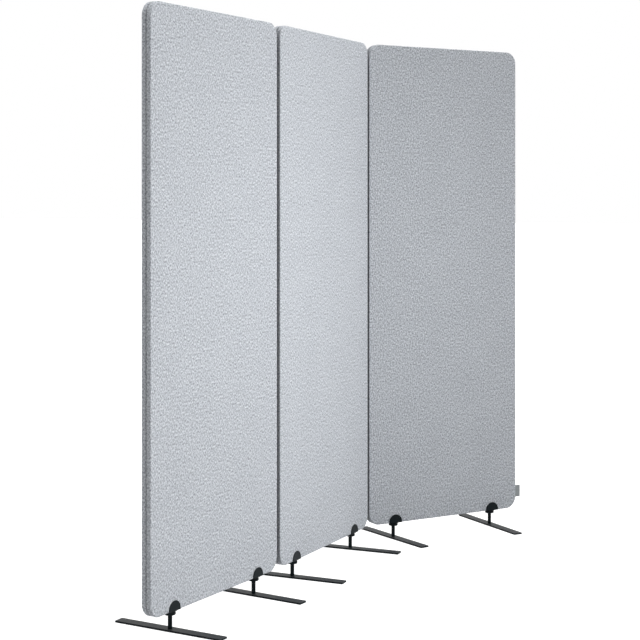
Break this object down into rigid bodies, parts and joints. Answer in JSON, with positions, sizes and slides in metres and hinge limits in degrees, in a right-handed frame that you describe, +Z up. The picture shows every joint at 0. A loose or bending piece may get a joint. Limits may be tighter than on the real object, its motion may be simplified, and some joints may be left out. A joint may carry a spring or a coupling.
{
  "type": "floor screen",
  "caption": "Free-standing office floor screen: upright grey fabric panels zipped edge to edge, each on flat black cross-bar feet, folding at the zips to set the stance.",
  "frame": {"origin": "on the floor, under the middle of the screen's box in its stored stance", "axes": "+Z up; +X along the middle panel, from the left panel towards the right one; -Y is the front, the side that the right panel turns towards"},
  "size_m": [1.7816, 0.641, 1.6724],
  "materials": {
    "cover_fabric": "matte",
    "felt_board": "matte",
    "black_steel": "matte",
    "zinc_steel": "satin",
    "zip_tape": "matte",
    "zip_chain": "satin",
    "zip_metal": "satin",
    "tag_fabric": "matte"
  },
  "bodies": {
    "panel_1": {"panel_1_front_board": "felt_board", "panel_1_front_cover": "cover_fabric", "panel_1_back_board": "felt_board", "panel_1_back_cover": "cover_fabric", "panel_1_foot_inserts": "zinc_steel", "panel_1_foot_screws": "zinc_steel", "panel_1_zip_flanges": "zip_tape", "foot_1_bar": "black_steel", "foot_1_post": "black_steel", "foot_1_collar": "black_steel", "foot_1_front_jaw": "black_steel", "foot_1_back_jaw": "black_steel", "foot_2_bar": "black_steel", "foot_2_post": "black_steel", "foot_2_collar": "black_steel", "foot_2_front_jaw": "black_steel", "foot_2_back_jaw": "black_steel"},
    "panel_2": {"panel_2_front_board": "felt_board", "panel_2_front_cover": "cover_fabric", "panel_2_back_board": "felt_board", "panel_2_back_cover": "cover_fabric", "panel_2_foot_inserts": "zinc_steel", "panel_2_foot_screws": "zinc_steel", "panel_2_zip_flanges": "zip_tape", "foot_3_bar": "black_steel", "foot_3_post": "black_steel", "foot_3_collar": "black_steel", "foot_3_front_jaw": "black_steel", "foot_3_back_jaw": "black_steel", "foot_4_bar": "black_steel", "foot_4_post": "black_steel", "foot_4_collar": "black_steel", "foot_4_front_jaw": "black_steel", "foot_4_back_jaw": "black_steel"},
    "panel_3": {"panel_3_front_board": "felt_board", "panel_3_front_cover": "cover_fabric", "panel_3_back_board": "felt_board", "panel_3_back_cover": "cover_fabric", "panel_3_foot_inserts": "zinc_steel", "panel_3_foot_screws": "zinc_steel", "panel_3_zip_flanges": "zip_tape", "foot_5_bar": "black_steel", "foot_5_post": "black_steel", "foot_5_collar": "black_steel", "foot_5_front_jaw": "black_steel", "foot_5_back_jaw": "black_steel", "foot_6_bar": "black_steel", "foot_6_post": "black_steel", "foot_6_collar": "black_steel", "foot_6_front_jaw": "black_steel", "foot_6_back_jaw": "black_steel", "side_tag": "tag_fabric"},
    "zip_1": {"zip_1_tapes": "zip_tape", "zip_1_chain": "zip_chain"},
    "zip_1_slider": {"zip_1_slider": "zip_metal"},
    "zip_1_pull": {"zip_1_pull": "zip_metal"},
    "zip_2": {"zip_2_tapes": "zip_tape", "zip_2_chain": "zip_chain"},
    "zip_2_slider": {"zip_2_slider": "zip_metal"},
    "zip_2_pull": {"zip_2_pull": "zip_metal"}
  },
  "joints": [
    {"name": "zip_1_near_fold", "type": "hinge", "parent": "panel_2", "child": "zip_1", "pos_m": [-0.26587, 0.11353, 0], "axis": [0, 0, 1], "range_deg": [-23.1, 26.9]},
    {"name": "zip_1_far_fold", "type": "hinge", "parent": "zip_1", "child": "panel_1", "pos_m": [-0.28186, 0.11406, 0], "axis": [0, 0, 1], "range_deg": [-23.1, 26.9]},
    {"name": "zip_1_slide", "type": "slide", "parent": "zip_1", "child": "zip_1_slider", "axis": [0, 0, -1], "range_m": [0, 1.4954]},
    {"name": "zip_1_pull_swing", "type": "hinge", "parent": "zip_1_slider", "child": "zip_1_pull", "pos_m": [-0.27398, 0.1104, 1.6134], "axis": [-0.9995, 0.0332, 0], "range_deg": [0, 120]},
    {"name": "zip_2_near_fold", "type": "hinge", "parent": "panel_2", "child": "zip_2", "pos_m": [0.34373, 0.11353, 0], "axis": [0, 0, 1], "range_deg": [-8.25, 41.75]},
    {"name": "zip_2_far_fold", "type": "hinge", "parent": "zip_2", "child": "panel_3", "pos_m": [0.35905, 0.10892, 0], "axis": [0, 0, 1], "range_deg": [-8.25, 41.75]},
    {"name": "zip_2_slide", "type": "slide", "parent": "zip_2", "child": "zip_2_slider", "axis": [0, 0, -1], "range_m": [0, 1.4954]},
    {"name": "zip_2_pull_swing", "type": "hinge", "parent": "zip_2_slider", "child": "zip_2_pull", "pos_m": [0.35041, 0.10797, 1.6134], "axis": [-0.9576, 0.2882, 0], "range_deg": [0, 120]}
  ],
  "couplings": [
    {"joint": "zip_1_far_fold", "follows": "zip_1_near_fold", "ratio": 1},
    {"joint": "zip_2_far_fold", "follows": "zip_2_near_fold", "ratio": 1}
  ]
}
